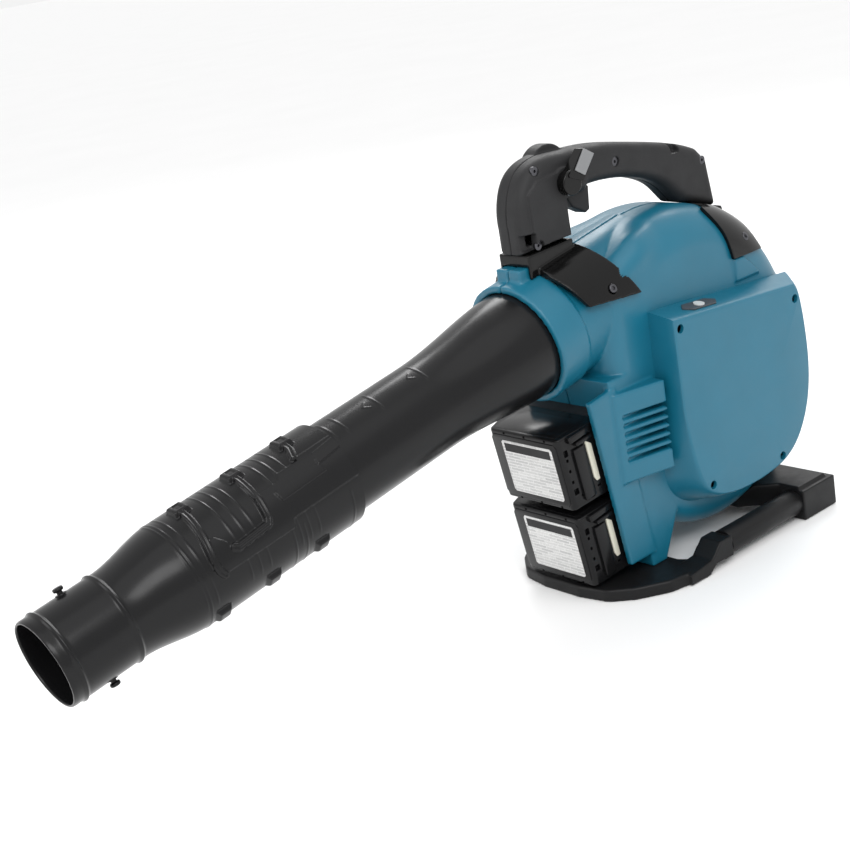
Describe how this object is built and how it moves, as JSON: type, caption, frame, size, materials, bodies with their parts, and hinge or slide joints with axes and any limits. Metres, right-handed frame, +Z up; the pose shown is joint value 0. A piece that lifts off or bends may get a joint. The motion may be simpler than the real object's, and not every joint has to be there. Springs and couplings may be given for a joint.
{
  "type": "cordless leaf blower",
  "caption": "Hand-held cordless leaf blower: scroll fan housing with top handle, side-by-side battery packs on a front bay, telescoping nozzle and a looped floor base.",
  "frame": {"origin": "underside of the base front plate, on the middle plane", "axes": "+X backward along the floor, the nozzle points to -X; +Y to the right of the machine; +Z up from the floor"},
  "size_m": [0.8222, 0.202, 0.406],
  "materials": {
    "duct_black": "satin black moulded duct",
    "housing_blue": "semi-gloss teal blue moulded housing",
    "switch_plate": "satin membrane plate",
    "switch_button": "pale push button",
    "inner_black": "matt black",
    "steel": "turned steel",
    "copper": "lacquered windings",
    "board_green": "potted circuit board",
    "grille_black": "matt black",
    "handle_grey": "matt charcoal handle",
    "gloss_black": "gloss black",
    "lever_grey": "satin grey",
    "pack_black": "satin black pack case",
    "label": "silver printed label",
    "pale_strip": "cream strip",
    "button_black": "ribbed release button",
    "base_black": "satin black",
    "screw_steel": "blackened steel"
  },
  "bodies": {
    "housing": {"rear_pipe": "duct_black", "left_housing": "housing_blue", "right_housing": "housing_blue", "motor_cover": "housing_blue", "power_plate": "switch_plate", "power_switch": "inner_black", "stator": "copper", "rear_bearing": "steel", "front_bearing": "steel", "motor_frame": "inner_black", "controller": "board_green", "inlet_hinge_pin": "steel", "inlet_mouth": "inner_black", "handle_left": "handle_grey", "handle_right": "handle_grey", "trigger_pin": "steel", "trigger_switch": "inner_black", "front_saddle": "gloss_black", "rear_saddle": "gloss_black", "upper_rail_guide": "inner_black", "lower_rail_guide": "inner_black", "front_base": "base_black", "rear_foot": "base_black", "left_bar": "base_black", "right_bar": "base_black", "motor_cover_screws": "screw_steel", "handle_screws": "screw_steel", "saddle_screws": "screw_steel"},
    "nozzle": {"front_nozzle": "duct_black"},
    "rotor": {"rotor_shaft": "steel", "rotor_core": "steel", "impeller": "inner_black", "fan_nut": "steel"},
    "trigger": {"trigger": "handle_grey"},
    "cruise_lever": {"cruise_lever": "gloss_black", "lever_tip": "lever_grey"},
    "power_button": {"power_button": "switch_button"},
    "upper_battery": {"upper_pack": "pack_black", "upper_label": "label", "upper_strip": "pale_strip"},
    "lower_battery": {"lower_pack": "pack_black", "lower_label": "label", "lower_strip": "pale_strip"},
    "upper_release": {"upper_release_button": "button_black"},
    "lower_release": {"lower_release_button": "button_black"},
    "inlet_grille": {"inlet_grille": "grille_black"},
    "inlet_lock": {"inlet_lock_knob": "grille_black"}
  },
  "joints": [
    {"name": "nozzle_slide", "type": "slide", "parent": "housing", "child": "nozzle", "axis": [0.9842, 0, 0.1771], "range_m": [0, 0.1]},
    {"name": "impeller_spin", "type": "hinge", "parent": "housing", "child": "rotor", "pos_m": [0.12, 0, 0.163], "axis": [0, 1, 0], "continuous": true},
    {"name": "trigger_pull", "type": "hinge", "parent": "housing", "child": "trigger", "pos_m": [0.02, 0, 0.374], "axis": [0, -1, 0], "range_deg": [0, 9], "stiffness_Nm_per_rad": 1.2},
    {"name": "cruise_lever_turn", "type": "hinge", "parent": "housing", "child": "cruise_lever", "pos_m": [0.009, -0.025, 0.373], "axis": [0, -1, 0], "range_deg": [0, 60]},
    {"name": "power_press", "type": "slide", "parent": "housing", "child": "power_button", "axis": [-0.0852, 0.1652, -0.9826], "range_m": [0, 0.0012], "stiffness_N_per_m": 800},
    {"name": "upper_battery_slide", "type": "slide", "parent": "housing", "child": "upper_battery", "axis": [0, 1, 0], "range_m": [0, 0.12]},
    {"name": "lower_battery_slide", "type": "slide", "parent": "housing", "child": "lower_battery", "axis": [0, 1, 0], "range_m": [0, 0.12]},
    {"name": "upper_release_press", "type": "slide", "parent": "upper_battery", "child": "upper_release", "axis": [-0.989, 0, -0.1478], "range_m": [0, 0.004], "stiffness_N_per_m": 600},
    {"name": "lower_release_press", "type": "slide", "parent": "lower_battery", "child": "lower_release", "axis": [-0.989, 0, -0.1478], "range_m": [0, 0.004], "stiffness_N_per_m": 600},
    {"name": "inlet_grille_swing", "type": "hinge", "parent": "housing", "child": "inlet_grille", "pos_m": [0.22, 0.067, 0.163], "axis": [0, 0, -1], "range_deg": [0, 100]},
    {"name": "inlet_lock_turn", "type": "hinge", "parent": "inlet_grille", "child": "inlet_lock", "pos_m": [0.047, 0.09, 0.163], "axis": [0, 1, 0], "range_deg": [0, 90]}
  ]
}
